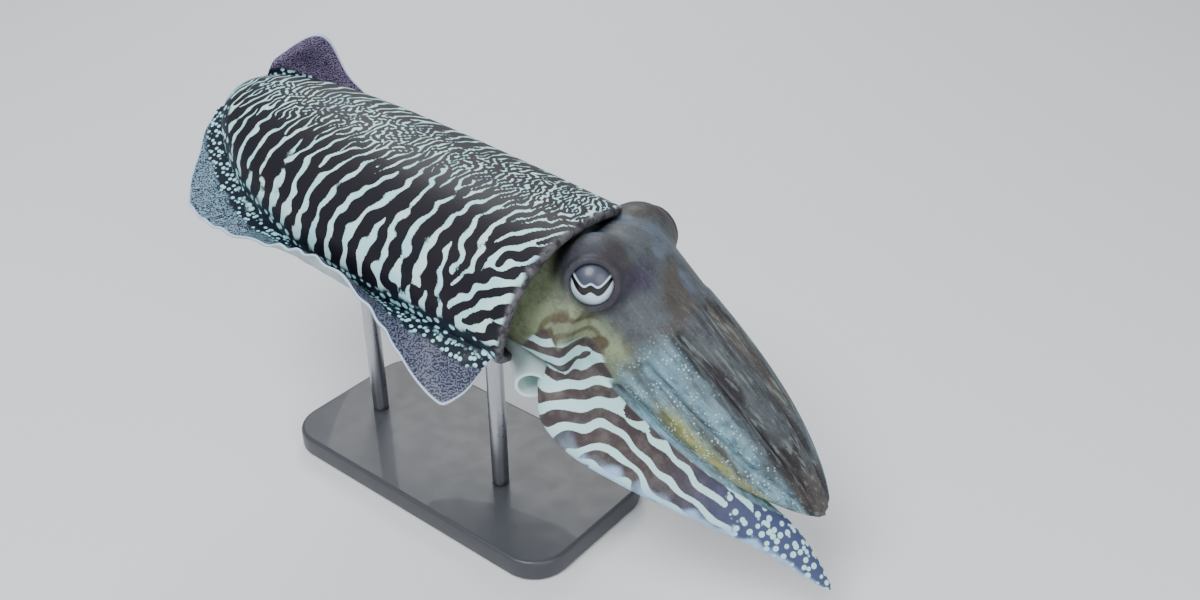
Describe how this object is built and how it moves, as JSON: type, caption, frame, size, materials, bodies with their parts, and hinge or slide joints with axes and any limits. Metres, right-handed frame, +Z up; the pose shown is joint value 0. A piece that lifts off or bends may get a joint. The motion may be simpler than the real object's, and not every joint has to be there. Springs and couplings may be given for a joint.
{
  "type": "cuttlefish model",
  "caption": "Life-size model of a common cuttlefish hovering with its arms together and turned down, held by rods on a flat base.",
  "frame": {"origin": "middle of the stand's underside", "axes": "+X the way the mantle heads, from tail to head, +Y the animal's left, +Z up"},
  "size_m": [0.3761, 0.1515, 0.2111],
  "materials": {
    "mantle_skin": "wet matt skin, near-black purple with pale forking stripes",
    "fin_skin": "wet matt skin, mauve-grey with rows of white dots at the root",
    "head_skin": "wet matt skin, grey-brown to greenish yellow",
    "arm_skin": "wet matt skin, grey-brown with dark streaks",
    "blade_skin": "wet matt skin, brown and white bands, blue-grey towards the tip",
    "funnel_skin": "wet matt skin, white",
    "eye": "wet gloss with a W-shaped pupil and a white crescent",
    "stand_base": "satin charcoal paint",
    "stand_rod": "brushed"
  },
  "bodies": {
    "root": {"mantle": "mantle_skin", "fin_right": "fin_skin", "fin_left": "fin_skin", "head": "head_skin", "eye_right": "eye", "eye_left": "eye", "funnel": "funnel_skin", "arm_right_1_base": "arm_skin", "arm_right_1_tip": "arm_skin", "arm_right_2_base": "arm_skin", "arm_right_2_tip": "arm_skin", "arm_right_3_base": "arm_skin", "arm_right_3_tip": "arm_skin", "arm_left_1_base": "arm_skin", "arm_left_1_tip": "arm_skin", "arm_left_2_base": "arm_skin", "arm_left_2_tip": "arm_skin", "arm_left_3_base": "arm_skin", "arm_left_3_tip": "arm_skin", "arm_left_4_base": "arm_skin", "arm_left_4_tip": "arm_skin", "arm_right_4_base": "blade_skin", "arm_right_4_tip": "blade_skin", "stand_base": "stand_base", "stand_rod_front": "stand_rod", "stand_rod_rear": "stand_rod"}
  },
  "joints": []
}
